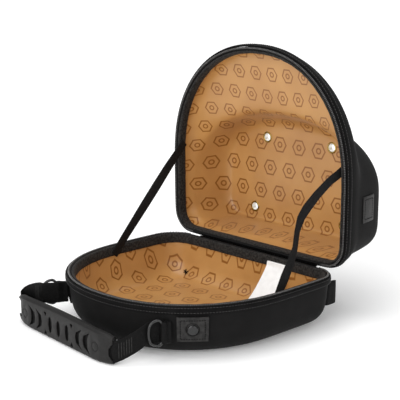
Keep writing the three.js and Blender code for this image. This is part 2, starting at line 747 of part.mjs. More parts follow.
// Webbing from the patch, past the inside of a ring, and on to the grip, which it enters along the
// grip's own line.
function webbingEnd(row, end, outwards) {
  const past = tabRound + WEBBING_WALL + GAP;
  const flat = tabFlat + WEBBING_WALL + GAP;
  const wire = (RING_WIRE + WEBBING_WALL) / 2 + RING_CLEAR;
  const run = besideRing(row, [
    [-row.tab - row.foot, flat], [-row.tab * TAB_PINCH_SHARE, flat], [-TAB_STRAIGHT, past],
    [0, past], [RING_DEPTH, wire],
  ]);
  const start = run[run.length - 1];
  const leaving = start.clone().addScaledVector(heading(row.leave), row.reach);
  leaving.z -= row.drop;
  const entering = end.clone().addScaledVector(outwards, row.enter);
  const curve = new THREE.CubicBezierCurve3(start, leaving, entering, end);
  return [...run, ...curve.getPoints(STRETCH_STEPS).slice(1, -1)];
}

// The handle's webbing from the near patch, through the grip, to the far one.
function handlePath() {
  const slots = GRIP_ROWS.map(({ along, slot }) => {
    const { at, out } = gripLine(along * GRIP_REACH);
    return at.addScaledVector(out, SLOT_OUT).setZ(slot * GRIP_HEIGHT).applyMatrix4(gripFrame);
  }).reverse();
  const [near, far] = RINGS.map((row) => {
    const [end, before] = row.side > 0 ? slots : slots.slice(-2).reverse();
    return webbingEnd(row, end, end.clone().sub(before).normalize());
  });
  return [...near, ...slots, ...far.reverse()];
}

// A geometry, or its mirror image across the middle of the case.
function mirrored(geometry, side) {
  if (side > 0) {
    return geometry;
  }
  const flipped = geometry.clone().scale(-1, 1, 1);
  flipped.setIndex(Array.from(flipped.index.array).reverse());
  return flipped;
}

const tray = new THREE.Group();
tray.position.set(0, CASE_LENGTH / 2, TRAY_HEIGHT);
tray.add(piece('tray_shell', wall(trayRings(0, SHELL_TOP), trayRings(SHELL_WALL, SHELL_TOP)), BLACK_CLOTH));
tray.add(piece('tray_lining',
  wall(trayRings(LINING_OUTER, LINING_TOP), trayRings(LINING_INNER, LINING_TOP)), TAN_LINING));
tray.add(piece('tray_edge_band', rimTrim(trayPlan, bandSection, TRAY_SLOPE, -1), BLACK_CLOTH));
tray.add(piece('tray_zipper', rimTrim(trayPlan, zipSection, TRAY_SLOPE, -1), ZIP_NYLON));
tray.add(piece('tray_binding', rimTrim(trayPlan, bindingSection, TRAY_SLOPE, -1), BLACK_KNIT));

const lid = new THREE.Group();
lid.position.set(0, CASE_LENGTH / 2 + LID_BACK, TRAY_HEIGHT + LID_LIFT);
lid.rotation.x = -THREE.MathUtils.degToRad(LID_OPENING);
const ventPlace = ({ across, back }) =>
  [across * PANEL_WIDTH / 2, -THREE.MathUtils.lerp(PANEL_HINGE_INSET, PANEL_LENGTH, back)];
const ventHoles = EYELETS.map((row) =>
  new THREE.CylinderGeometry(EYELET_HOLE, EYELET_HOLE, DOME_DEPTH, EYELET_SIDES)
    .rotateX(Math.PI / 2).translate(...ventPlace(row), DOME_DEPTH));
const lidShell = wall(lidRings(0, SHELL_TOP), lidRings(SHELL_WALL, SHELL_TOP));
const lidLining = wall(lidRings(LINING_OUTER, LINING_TOP), lidRings(LINING_INNER, LINING_TOP));
lid.add(piece('lid_shell', cut(lidShell, ventHoles), BLACK_CLOTH));
lid.add(piece('lid_lining', cut(lidLining, ventHoles), TAN_LINING));
lid.add(piece('lid_edge_band', rimTrim(lidPlan, bandSection, 0, 1), BLACK_CLOTH));
lid.add(piece('lid_zipper', rimTrim(lidPlan, zipSection, 0, 1), ZIP_NYLON));
lid.add(piece('lid_binding', rimTrim(lidPlan, bindingSection, 0, 1), BLACK_KNIT));
const ventFront = DOME_DEPTH - LINING_INNER - GAP - EYELET_METAL;
const ventBack = DOME_DEPTH + GAP + EYELET_METAL;
for (const row of EYELETS) {
  lid.add(piece(row.name, eyelet(ventFront, ventBack).translate(...ventPlace(row), 0), BRASS));
}
lid.add(piece('lid_side_patch', strap(SIDE_PATCH_ROWS.map(({ out, rise }) =>
  new THREE.Vector3(out * CROWN_WIDTH / 2, -SIDE_PATCH_MIDDLE, rise * DOME_DEPTH)),
[new THREE.Vector3(0, SIDE_PATCH_HEIGHT / 2, 0)], LEATHER_WALL), LEATHER));

// The rest is placed from the hinge line and the floor
const fittings = new THREE.Group();
fittings.position.set(0, CASE_LENGTH / 2, 0);
const bandReach = (BAND_WALL + GAP - SHELL_INSET) * HINGE_SHARE + GAP + HINGE_STRIP_WALL / 2;
fittings.add(piece('hinge_strip', strap(HINGE_ROWS.map(({ out, down }) =>
  spot(0, -out * bandReach, TRAY_HEIGHT - down * BAND_HEIGHT)),
[new THREE.Vector3(HINGE_STRIP_LENGTH / 2, 0, 0)], HINGE_STRIP_WALL), BLACK_CLOTH));
fittings.add(piece('stay_left', stay(LEFT_STAY, -1), WEBBING));
fittings.add(piece('stay_right', stay(RIGHT_STAY, 1), WEBBING));
fittings.add(piece('care_label', strap(LABEL_ROWS.map(({ back, up }) =>
  spot(LABEL_MIDDLE, back * TRAY_HEIGHT, up * TRAY_HEIGHT)),
[new THREE.Vector3(LABEL_WIDTH / 2, 0, 0)], LABEL_WALL), LABEL_SATIN));
fittings.add(piece('tray_corner_tag', strap(TAG_ROWS.map(({ back, up }) =>
  spot(HINGE_WIDTH / 2 - TAG_INSET, back * TRAY_HEIGHT, up * TRAY_HEIGHT)),
TAG_ROWS.map(({ reach }) => new THREE.Vector3(0, reach * TRAY_HEIGHT, 0)), TAG_WALL), WEBBING));
const sliderTurn = THREE.MathUtils.degToRad(SLIDER.turn);
const sliderPlace = spot(
  -HINGE_WIDTH / 2 + TRAY_CORNER - (TRAY_CORNER + SLIDER.out) * Math.sin(sliderTurn),
  TRAY_CORNER - (TRAY_CORNER + SLIDER.out) * Math.cos(sliderTurn), TRAY_HEIGHT - SLIDER.drop);
fittings.add(piece('zip_slider', new THREE.BoxGeometry(SLIDER.length, SLIDER.thickness, SLIDER.height)
  .rotateZ(sliderTurn).translate(...sliderPlace), BLACK_METAL));
for (const row of RINGS) {
  fittings.add(piece(`ring_patch_${row.name}`, mirrored(ringPatch(), row.side), LEATHER));
  fittings.add(piece(`rivet_${row.name}`, mirrored(rivet(), row.side), BLACK_METAL));
  fittings.add(piece(`ring_tab_${row.name}`, ringTab(row), WEBBING));
  fittings.add(piece(`d_ring_${row.name}`, dRing(row), BLACK_METAL));
}

fittings.add(piece('handle_grip', cut(grip(), gripHoles()).applyMatrix4(gripFrame), GRIP_RUBBER));
fittings.add(piece('handle_webbing', strap(handlePath(), upright, WEBBING_WALL), WEBBING));

const carrier = new THREE.Group();
carrier.add(tray, lid, fittings);
export default carrier;
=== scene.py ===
"""Carrier case for a baseball cap, lying open on a pale floor: moulded cloth shells with a printed
lining, a zip round both rims, elastic stays and a strap handle with a rubber grip.
Metres, in the CAD frame: +Z is up, the handle points to -Y and the open lid stands at +Y."""

import math
from functools import partial

import bmesh
import bpy
import numpy as np
from mathutils import Matrix, Vector
from mathutils.bvhtree import BVHTree


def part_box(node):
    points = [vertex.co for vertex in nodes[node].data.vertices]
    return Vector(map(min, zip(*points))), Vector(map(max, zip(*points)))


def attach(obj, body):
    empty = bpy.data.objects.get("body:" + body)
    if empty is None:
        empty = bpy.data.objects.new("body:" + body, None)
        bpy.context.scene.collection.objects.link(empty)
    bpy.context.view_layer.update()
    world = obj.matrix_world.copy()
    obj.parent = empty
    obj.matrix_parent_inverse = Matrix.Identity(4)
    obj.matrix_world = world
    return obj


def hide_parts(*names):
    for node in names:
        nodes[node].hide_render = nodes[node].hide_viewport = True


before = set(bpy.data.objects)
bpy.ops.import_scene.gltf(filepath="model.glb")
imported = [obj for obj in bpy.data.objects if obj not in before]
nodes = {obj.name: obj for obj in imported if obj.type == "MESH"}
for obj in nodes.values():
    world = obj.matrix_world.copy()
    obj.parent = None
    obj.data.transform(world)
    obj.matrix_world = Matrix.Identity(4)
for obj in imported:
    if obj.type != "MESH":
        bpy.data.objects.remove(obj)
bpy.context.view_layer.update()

# Camera and studio.
# The case lies on a plain white floor under four soft lights: above, in front, on the right and
# behind. The camera looks down on the front right of the tray, as in the photograph.

CAMERA_PLACE = Vector((0.9689, -0.9105, 0.4617))
CAMERA_TARGET = Vector((0, 0.0393, 0.1156))
CAMERA_SHIFT = (-0.0058, 0.0582)
FOCAL_LENGTH = 102.27
NEAR_CLIP = 0.05
FAR_CLIP = 900
FLOOR_SIZE = 600
FLOOR_DROP = 0.0002
FLOOR_WHITE = (0.97, 0.97, 0.97, 1)
FLOOR_GLOW = {"From Min": 0.35, "From Max": 2.6, "To Min": 0.12, "To Max": 0.62}
WHITE = (1, 1, 1, 1)
WORLD_STRENGTH = 0.5
LIGHT_TARGET = Vector((0, 0, 0.08))
LIGHTS = [
    {"name": "key", "place": (-0.35, -0.5, 2.3), "size": 1.6, "watts": 23},
    {"name": "fill", "place": (0.5, -2.1, 1.0), "size": 2.0, "watts": 33},
    {"name": "side", "place": (2.3, -0.4, 0.9), "size": 1.6, "watts": 10},
    {"name": "back", "place": (-0.1, 1.3, 1.9), "size": 1.4, "watts": 8},
]


def aim(start, target):
    """The turn that makes a camera or a light look from one point at another."""
    return (target - start).to_track_quat("-Z", "Y").to_euler()


def add_node(material, kind, **settings):
    made = material.node_tree.nodes.new("ShaderNode" + kind)
    for key, value in settings.items():
        setattr(made, key, value)
    return made


def join(material, start, output, end, socket):
    material.node_tree.links.new(start.outputs[output], end.inputs[socket])


def new_material(name, colour, roughness, **sockets):
    material = bpy.data.materials.new(name)
    material.use_nodes = True
    surface = material.node_tree.nodes["Principled BSDF"]
    surface.inputs["Base Color"].default_value = colour
    surface.inputs["Roughness"].default_value = roughness
    for key, value in sockets.items():
        surface.inputs[key.replace("_", " ")].default_value = value
    return material, surface


bpy.ops.object.camera_add(location=CAMERA_PLACE)
camera = bpy.context.object
camera.name = "camera"
camera.rotation_euler = aim(CAMERA_PLACE, CAMERA_TARGET)
camera.data.lens = FOCAL_LENGTH
camera.data.shift_x, camera.data.shift_y = CAMERA_SHIFT
camera.data.clip_start = NEAR_CLIP
camera.data.clip_end = FAR_CLIP
bpy.context.scene.camera = camera
bpy.context.scene.view_settings.view_transform = "Standard"

# The floor glows a little more far from the case, so that it stays white out to the horizon.
floor_paint, surface = new_material(
    "floor_paint", FLOOR_WHITE, roughness=0.9, Specular_IOR_Level=0.1, Emission_Color=WHITE)
floor_place = add_node(floor_paint, "TexCoord")
floor_reach = add_node(floor_paint, "VectorMath", operation="LENGTH")
floor_glow = add_node(floor_paint, "MapRange")
for limit, value in FLOOR_GLOW.items():
    floor_glow.inputs[limit].default_value = value
join(floor_paint, floor_place, "Object", floor_reach, 0)
join(floor_paint, floor_reach, "Value", floor_glow, "Value")
join(floor_paint, floor_glow, "Result", surface, "Emission Strength")

bpy.ops.mesh.primitive_plane_add(size=FLOOR_SIZE, location=(0, 0, -FLOOR_DROP))
floor = bpy.context.object
floor.name = "floor"
floor.data.materials.append(floor_paint)

world = bpy.data.worlds.new("studio")
world.use_nodes = True
world.node_tree.nodes["Background"].inputs["Color"].default_value = WHITE
world.node_tree.nodes["Background"].inputs["Strength"].default_value = WORLD_STRENGTH
bpy.context.scene.world = world

for light in LIGHTS:
    place = Vector(light["place"])
    bpy.ops.object.light_add(type="AREA", location=place)
    lamp = bpy.context.object
    lamp.name = light["name"]
    lamp.data.size = light["size"]
    lamp.data.energy = light["watts"]
    lamp.rotation_euler = aim(place, LIGHT_TARGET)

# Tray and lid shells.
# Each half is one sheet of foam between cloths, moulded hot into a bowl. The outside is a fine
# black weave that catches a little light on its round edges.

SHELL_COLOUR = (0.005, 0.0047, 0.0047, 1)
MOTTLE_RANGE = (0.35, 0.68)
THREAD_TURN = (0.5, 0.4, 0.6)
THREAD_RANDOMNESS = 0.25
MERGE_DISTANCE = 0.00001
UPRIGHT = 2
BACKWARD = 1
FLAT_SHARE = 0.9999
TRAY_FLOOR_TOP = 0.012
LID_PANEL_FRONT = 0.2
VENT_REACH = 0.0075
END_RINGS = (0.86, 0.8, 0.7, 0.6, 0.5)
VENTS = ("eyelet_upper_left", "eyelet_upper_right", "eyelet_lower_left", "eyelet_lower_right")


def box_middle(node):
    low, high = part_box(node)
    return (low + high) / 2


def select_only(*pieces):
    bpy.ops.object.select_all(action="DESELECT")
    for one in pieces:
        one.select_set(True)
    bpy.context.view_layer.objects.active = pieces[0]


def edit(piece):
    select_only(piece)
    bpy.ops.object.mode_set(mode="EDIT")
    bpy.ops.mesh.select_all(action="DESELECT")
    return bmesh.from_edit_mesh(piece.data)


def leave_edit():
    bpy.ops.object.mode_set(mode="OBJECT")


def apply_all(piece):
    select_only(piece)
    for modifier in list(piece.modifiers):
        bpy.ops.object.modifier_apply(modifier=modifier.name)


def copy_of(node, name):
    """A merged copy of a CAD node, as a piece that takes its place."""
    piece = bpy.data.objects.new(name, nodes[node].data.copy())
    bpy.context.collection.objects.link(piece)
    piece.data.materials.clear()
    edit(piece)
    bpy.ops.mesh.select_all(action="SELECT")
    bpy.ops.mesh.remove_doubles(threshold=MERGE_DISTANCE)
    bpy.ops.mesh.tris_convert_to_quads(face_threshold=math.pi, shape_threshold=math.pi)
    leave_edit()
    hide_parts(node)
    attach(piece, "root")
    return piece


def subdivide(piece, levels):
    modifier = piece.modifiers.new("smooth", "SUBSURF")
    modifier.levels = levels
    modifier.render_levels = levels
    apply_all(piece)


def swell(piece, distance):
    """Moves the skin out by this distance, to give back what the smoothing took."""
    modifier = piece.modifiers.new("swell", "DISPLACE")
    modifier.mid_level = 0
    modifier.strength = distance
    apply_all(piece)


def smooth_shade(piece, angle=40):
    select_only(piece)
    bpy.ops.object.shade_smooth_by_angle(angle=math.radians(angle))


def open_loop(mesh):
    """The edges of one open loop of a mesh, or none once it is closed."""
    first = next((edge for edge in mesh.edges if edge.is_boundary), None)
    if first is None:
        return []
    loop = [first]
    for edge in loop:
        for vertex in edge.verts:
            loop += [near for near in vertex.link_edges if near.is_boundary and near not in loop]
    return loop


def refill_ends(piece, axis):
    """Lays rings of faces over a bowl's two flat end walls, in place of loose long triangles."""
    vents = [box_middle(node) for node in VENTS]
    mesh = edit(piece)
    for face in mesh.faces:
        middle = face.calc_center_median()
        flat = abs(face.normal[axis]) > FLAT_SHARE
        near_end = middle.z < TRAY_FLOOR_TOP if axis == UPRIGHT else middle.y > LID_PANEL_FRONT
        bore = axis == BACKWARD and any(
            math.hypot(middle.x - vent.x, middle.z - vent.z) < VENT_REACH for vent in vents)
        face.select_set(near_end and (flat or bore))
    bpy.ops.mesh.delete(type="FACE")
    mesh = bmesh.from_edit_mesh(piece.data)
    while loop := open_loop(mesh):
        for edge in loop:
            edge.select_set(True)
        rim = [vertex.co for vertex in mesh.verts if vertex.select]
        centre = sum(rim, Vector()) / len(rim)
        for share in END_RINGS:
            bpy.ops.mesh.extrude_edges_indiv()
            bpy.ops.transform.resize(value=(share, share, share), center_override=centre)
        bpy.ops.mesh.edge_face_add()
        bpy.ops.mesh.select_all(action="DESELECT")
        mesh = bmesh.from_edit_mesh(piece.data)
    bpy.ops.mesh.select_all(action="SELECT")
    bpy.ops.mesh.normals_make_consistent(inside=False)
    leave_edit()


def object_place(material, scale, turn=(0, 0, 0)):
    """Object coordinates, scaled and turned for one pattern."""
    coordinates = add_node(material, "TexCoord")
    mapping = add_node(material, "Mapping")
    mapping.inputs["Scale"].default_value = (scale,) * 3
    mapping.inputs["Rotation"].default_value = turn
    join(material, coordinates, "Object", mapping, "Vector")
    return mapping


def mottle(material, surface, dark, light, scale, detail=5):
    """Uneven colour between two shades, as dye and light wear give."""
    place = object_place(material, scale)
    cloud = add_node(material, "TexNoise")
    cloud.inputs["Scale"].default_value = 1
    cloud.inputs["Detail"].default_value = detail
    ramp = add_node(material, "ValToRGB")
    for element, position, colour in zip(ramp.color_ramp.elements, MOTTLE_RANGE, (dark, light)):
        element.position = position
        element.color = colour
    join(material, place, "Vector", cloud, "Vector")
    join(material, cloud, "Fac", ramp, "Fac")
    join(material, ramp, "Color", surface, "Base Color")


def weave(material, surface, pitch, depth):
    """A fine relief of nearly even cells, as the threads of a close weave or a grain make."""
    place = object_place(material, 1 / pitch, THREAD_TURN)
    threads = add_node(material, "TexVoronoi", feature="F1")
    threads.inputs["Scale"].default_value = 1
    threads.inputs["Randomness"].default_value = THREAD_RANDOMNESS
    bump = add_node(material, "Bump")
    bump.inputs["Distance"].default_value = depth
    join(material, place, "Vector", threads, "Vector")
    join(material, threads, "Distance", bump, "Height")
    join(material, bump, "Normal", surface, "Normal")


shell_cloth, surface = new_material(
    "shell_cloth", SHELL_COLOUR, roughness=0.8, Sheen_Weight=0.02, Sheen_Roughness=0.4,
    Specular_IOR_Level=0.14)
mottle(shell_cloth, surface,
       dark=(0.0042, 0.004, 0.004, 1), light=(0.0062, 0.0058, 0.0058, 1), scale=55)
weave(shell_cloth, surface, pitch=0.0007, depth=0.00012)

tray_shell = copy_of("tray_shell", "tray_shell_cloth")
refill_ends(tray_shell, UPRIGHT)
lid_shell = copy_of("lid_shell", "lid_shell_cloth")
refill_ends(lid_shell, BACKWARD)
for shell in (tray_shell, lid_shell):
    subdivide(shell, levels=2)
    shell.data.materials.append(shell_cloth)

# Printed lining.
# A thin satin cloth laid over the foam and drawn down with it, so its print stretches on the
# steep walls. The print is a plain hexagon outline with a small ring in it, in staggered rows.

TAN = (0.46, 0.232, 0.072, 1)
TAN_LIGHT = (0.53, 0.282, 0.092, 1)
PRINT_BROWN = (0.25, 0.092, 0.014, 1)
PRINT_PITCH = 0.034
HEXAGON_SIZE = 0.28
RING_SHARE = 0.36
LINE_WIDTH = 0.04
SOLID_SHARE = 0.55
DRAW_SHARE = 0.62
LID_CLOTH_MIDDLE = 0.15
TRAY_FLOOR_LEVEL = 0.006
LID_PANEL_LEVEL = 0.2192


def lay_cloth(piece, axis, level):
    """Gives each vertex its place on the flat cloth: across, and down the walls by a share."""
    layer = piece.data.attributes.new("cloth", "FLOAT_VECTOR", "POINT")
    for vertex in piece.data.vertices:
        depth = abs(vertex.co[axis] - level)
        across = vertex.co.x
        along = vertex.co.y if axis == UPRIGHT else vertex.co.z
        middle = Vector((0, 0 if axis == UPRIGHT else LID_CLOTH_MIDDLE))
        out = Vector((across, along)) - middle
        out.normalize()
        lift = depth * DRAW_SHARE
        layer.data[vertex.index].vector = (across + out.x * lift, along + out.y * lift, 0)


def maths(material, operation, first, second=None, clamp=False):
    made = add_node(material, "Math", operation=operation, use_clamp=clamp)
    for index, value in enumerate((first, second)):
        if value is None:
            continue
        if isinstance(value, (int, float)):
            made.inputs[index].default_value = value
        else:
            material.node_tree.links.new(value, made.inputs[index])
    return made.outputs[0]


def hexagon_print(material):
    """1 on the lines of the print and 0 off them, from the place on the flat cloth."""
    calc = partial(maths, material)
    cloth = add_node(material, "Attribute", attribute_name="cloth")
    split = add_node(material, "SeparateXYZ")
    join(material, cloth, "Vector", split, "Vector")
    along = calc("DIVIDE", split.outputs["Y"], PRINT_PITCH)
    row = calc("FLOOR", along)
    odd = calc("MULTIPLY", calc("MODULO", calc("ABSOLUTE", row), 2), 0.5)
    across = calc("ADD", calc("DIVIDE", split.outputs["X"], PRINT_PITCH), odd)
    in_x = calc("ABSOLUTE", calc("SUBTRACT", calc("FRACT", across), 0.5))
    in_y = calc("ABSOLUTE", calc("SUBTRACT", calc("FRACT", along), 0.5))
    slope = calc("ADD", calc("MULTIPLY", in_x, math.sqrt(0.75)), calc("MULTIPLY", in_y, 0.5))
    outer = calc("SUBTRACT", calc("MAXIMUM", in_y, slope), HEXAGON_SIZE)
    centre = calc("SQRT", calc("ADD", calc("MULTIPLY", in_x, in_x), calc("MULTIPLY", in_y, in_y)))
    inner = calc("SUBTRACT", centre, HEXAGON_SIZE * RING_SHARE)
    nearest = calc("MINIMUM", calc("ABSOLUTE", outer), calc("ABSOLUTE", inner))
    past = calc("SUBTRACT", nearest, LINE_WIDTH * SOLID_SHARE)
    return calc("SUBTRACT", 1, calc("DIVIDE", past, LINE_WIDTH * (1 - SOLID_SHARE)), clamp=True)


lining_satin, surface = new_material(
    "lining_satin", TAN, roughness=0.3, Sheen_Weight=0.1, Sheen_Roughness=0.4,
    Specular_IOR_Level=0.5, Anisotropic=0.3)
mottle(lining_satin, surface, dark=TAN, light=TAN_LIGHT, scale=18, detail=3)
dye = surface.inputs["Base Color"].links[0].from_socket
ink = hexagon_print(lining_satin)
inked = add_node(lining_satin, "Mix", data_type="RGBA")
lining_satin.node_tree.links.new(ink, inked.inputs["Factor"])
lining_satin.node_tree.links.new(dye, inked.inputs["A"])
inked.inputs["B"].default_value = PRINT_BROWN
lining_satin.node_tree.links.new(inked.outputs["Result"], surface.inputs["Base Color"])
weave(lining_satin, surface, pitch=0.0005, depth=0.00005)

tray_lining = copy_of("tray_lining", "tray_lining_cloth")
refill_ends(tray_lining, UPRIGHT)
lid_lining = copy_of("lid_lining", "lid_lining_cloth")
refill_ends(lid_lining, BACKWARD)
for lining in (tray_lining, lid_lining):
    subdivide(lining, levels=2)
    lining.data.materials.append(lining_satin)

# Vent holes.
# The four brass eyelets are set through holes punched in the end of the dome, through foam and
# lining alike. The print's places are set after the punching, so every vertex has one.

HOLE_RADIUS = 0.0061
PUNCH_LENGTH = 0.03


def cut_away(piece, cutter):
    cut = piece.modifiers.new("cut", "BOOLEAN")
    cut.object = cutter
    cut.operation = "DIFFERENCE"
    apply_all(piece)


for node in VENTS:
    bpy.ops.object.select_all(action="DESELECT")
    bpy.ops.mesh.primitive_cylinder_add(
        vertices=32, radius=HOLE_RADIUS, depth=PUNCH_LENGTH, location=box_middle(node),
        rotation=(math.pi / 2, 0, 0))
    punch = bpy.context.object
    for wall in (lid_shell, lid_lining):
        cut_away(wall, punch)
    bpy.data.objects.remove(punch)
for wall in (tray_shell, lid_shell, tray_lining, lid_lining):
    smooth_shade(wall)
lay_cloth(tray_lining, UPRIGHT, TRAY_FLOOR_LEVEL)
lay_cloth(lid_lining, BACKWARD, LID_PANEL_LEVEL)

# Brass eyelets.
# Each vent is a hollow rivet, spun from thin brass sheet: a barrel with a rolled flange that is
# pressed flat against the cloth on both sides.

eyelet_brass, surface = new_material(
    "eyelet_brass", (0.40, 0.27, 0.07, 1), roughness=0.2, Metallic=0.95)
mottle(eyelet_brass, surface, dark=(0.26, 0.17, 0.04, 1), light=(0.52, 0.37, 0.11, 1), scale=260)

# The barrel's inside is brass too; its near-white colour is painted light, for the bright light
# seen through the vent.
eyelet_bore_painted_light, surface = new_material(
    "eyelet_bore_painted_light", (0.9, 0.88, 0.82, 1), roughness=0.2, Metallic=0.35)
mottle(eyelet_bore_painted_light, surface, dark=(0.86, 0.82, 0.72, 1), light=(0.94, 0.93, 0.9, 1), scale=300)

FLANGE_RADIUS = 0.0064
FLANGE_ROLL = 0.0012
FLANGE_SQUEEZE = 0.55
BARREL_RADIUS = 0.0056
BARREL_WALL = 0.0006

for node in VENTS:
    low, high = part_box(node)
    middle = box_middle(node)
    sunk = FLANGE_ROLL * FLANGE_SQUEEZE
    bpy.ops.object.select_all(action="DESELECT")
    bpy.ops.mesh.primitive_torus_add(
        major_radius=FLANGE_RADIUS, minor_radius=FLANGE_ROLL, major_segments=48, minor_segments=16,
        location=(middle.x, low.y + sunk, middle.z), rotation=(math.pi / 2, 0, 0))
    flange = bpy.context.object
    flange.scale.z = FLANGE_SQUEEZE
    flange.data.materials.append(eyelet_brass)
    bpy.ops.object.duplicate()
    back_flange = bpy.context.object
    back_flange.location.y = high.y - sunk
    bpy.ops.mesh.primitive_cylinder_add(
        vertices=48, radius=BARREL_RADIUS, depth=high.y - low.y - sunk * 2, end_fill_type="NOTHING",
        location=middle, rotation=(math.pi / 2, 0, 0))
    barrel = bpy.context.object
    wall = barrel.modifiers.new("wall", "SOLIDIFY")
    wall.thickness = BARREL_WALL
    apply_all(barrel)
    barrel.data.materials.append(eyelet_bore_painted_light)
    select_only(flange, back_flange, barrel)
    bpy.ops.object.join()
    bpy.ops.object.transform_apply(location=True, rotation=True, scale=True)
    eyelet = bpy.context.object
    eyelet.name = node + "_brass"
    smooth_shade(eyelet)
    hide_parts(node)
    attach(eyelet, "root")

# Edge bands, bindings, zips and hinge.
# A stitched cloth band runs round the outside of each rim, a zip stands on its top edge, and a
# soft knit binding wraps the raw edge inside. A cloth strip between the bands is the hinge.

band_cloth, surface = new_material(
    "band_cloth", (0.003, 0.0028, 0.0028, 1), roughness=0.6,
    Sheen_Weight=0.005, Specular_IOR_Level=0.07)
mottle(band_cloth, surface,
       dark=(0.002, 0.0019, 0.0019, 1), light=(0.0045, 0.0042, 0.0042, 1), scale=90)
weave(band_cloth, surface, pitch=0.0009, depth=0.0002)

binding_knit, surface = new_material(
    "binding_knit", (0.008, 0.0072, 0.007, 1), roughness=0.85,
    Sheen_Weight=0.04, Sheen_Roughness=0.5, Specular_IOR_Level=0.2)
mottle(binding_knit, surface,
       dark=(0.0035, 0.0032, 0.003, 1), light=(0.034, 0.0315, 0.029, 1), scale=380)
weave(binding_knit, surface, pitch=0.0013, depth=0.0006)

zip_nylon, surface = new_material(
    "zip_nylon", (0.003, 0.0029, 0.0029, 1), roughness=0.5, Specular_IOR_Level=0.15)
mottle(zip_nylon, surface,
       dark=(0.0025, 0.0024, 0.0024, 1), light=(0.005, 0.0047, 0.0047, 1), scale=150)

PUCKER_DEPTH = 0.0009
PUCKER_SIZE = 0.006
TUFTS = [
    Vector((-0.0103, 0.1395, 0.0719)),
    Vector((0.0194, 0.1417, 0.0719)),
    Vector((0.047, 0.1427, 0.0719)),
]
TUFT_RADIUS = 0.0045
TUFT_HEIGHT = 0.0018


def pucker(piece):
    """Uneven soft folds in a piece's skin."""
    folds = bpy.data.textures.new(piece.name, "CLOUDS")
    folds.noise_scale = PUCKER_SIZE
    modifier = piece.modifiers.new("pucker", "DISPLACE")
    modifier.texture = folds
    modifier.texture_coords = "GLOBAL"
    modifier.mid_level = 0.5
    modifier.strength = PUCKER_DEPTH
    apply_all(piece)


def raise_tufts(piece):
    """Small lumps where the knit bunches under a stitch."""
    for vertex in piece.data.vertices:
        near = min((vertex.co - tuft).length for tuft in TUFTS)
        if near < TUFT_RADIUS:
            vertex.co += vertex.normal * TUFT_HEIGHT * (1 - near / TUFT_RADIUS)


TRIMS = [
    {"node": "tray_edge_band", "material": band_cloth, "slot": "band_cloth", "swell": 0.0003},
    {"node": "lid_edge_band", "material": band_cloth, "slot": "band_cloth", "swell": 0.0003},
    {"node": "tray_binding", "material": binding_knit, "slot": "binding_knit", "swell": 0.0004},
    {"node": "lid_binding", "material": binding_knit, "slot": "binding_knit", "swell": 0.0004},
    {"node": "tray_zipper", "material": zip_nylon, "slot": "zip_nylon", "swell": 0.0002},
    {"node": "lid_zipper", "material": zip_nylon, "slot": "zip_nylon", "swell": 0.0002},
    {"node": "hinge_strip", "material": band_cloth, "slot": "band_cloth", "swell": 0.0002},
]
trims = {}
for trim in TRIMS:
    strip = copy_of(trim["node"], trim["node"] + "_cloth")
    subdivide(strip, levels=2)
    swell(strip, trim["swell"])
    if trim["material"] is binding_knit:
        raise_tufts(strip)
        pucker(strip)
    strip.data.materials.append(trim["material"])
    smooth_shade(strip, angle=60)
    trims[trim["node"]] = strip

# Zip teeth.
# Each half of the zip is a chain of small moulded nylon teeth on the tape's top edge. The chain
# runs round three sides and leaves out the hinge.

TOOTH_PITCH = 0.0021
TOOTH_SIZE = (0.0013, 0.0026, 0.0016)
TOOTH_TOP = 0.7
TOOTH_ROUNDING = 0.0002
TOP_FACING = 0.9
TRACK_DROP = 0.0006
TOOTH_RISE = 0.0009
TOOTH_INSET = 0.0009
RIM_STEPS = 360
RIM_REACH = 0.4
HINGE_HALF = 0.112
HINGE_DEPTH = 0.004

# The teeth are black nylon like the tape; their grey colour, lighter than the tape, is painted
# highlight.
tooth_nylon_painted_highlight, surface = new_material(
    "tooth_nylon_painted_highlight", (0.07, 0.068, 0.066, 1), roughness=0.25, Specular_IOR_Level=0.7)
mottle(tooth_nylon_painted_highlight, surface, dark=(0.045, 0.044, 0.043, 1), light=(0.1, 0.097, 0.094, 1), scale=500)


def vertex_middle(piece):
    return sum((vertex.co for vertex in piece.data.vertices), Vector()) / len(piece.data.vertices)


def rim_frame(zipper, shell):
    """Middle of a rim, two directions in its plane, and the way that its mouth faces."""
    points = np.array([vertex.co for vertex in zipper.data.vertices])
    middle = points.mean(axis=0)
    directions = np.linalg.svd(points - middle, full_matrices=False)[2]
    across, along, facing = (Vector(row) for row in directions)
    middle = Vector(middle)
    if facing.dot(middle - vertex_middle(shell)) < 0:
        facing.negate()
    return middle, across, along, facing


def cast_tree(piece):
    places = [vertex.co for vertex in piece.data.vertices]
    return BVHTree.FromPolygons(places, [face.vertices for face in piece.data.polygons])


def rim_run(piece, rim, height):
    """Points and outward directions round the outside of a trim, this far above its rim's plane."""
    middle, across, along, facing = rim
    tree = cast_tree(piece)
    run = []
    for step in range(RIM_STEPS + 1):
        turn = 2 * math.pi * step / RIM_STEPS
        outwards = across * math.cos(turn) + along * math.sin(turn)
        start = middle + facing * height + outwards * RIM_REACH
        point, normal, _, _ = tree.ray_cast(start, -outwards)
        if point:
            run.append((point, normal))
    return run


def places_along(run, pitch):
    """A place each pitch along a run: x along it and z the outward way."""
    places = []
    spare = pitch / 2
    for (start, out), (end, _) in zip(run, run[1:]):
        along = (end - start).normalized()
        side = out.cross(along).normalized()
        turn = Matrix((along, side, along.cross(side))).transposed().to_4x4()
        while spare < (end - start).length:
            places.append(Matrix.Translation(start + along * spare) @ turn)
            spare += pitch
        spare -= (end - start).length
    return places


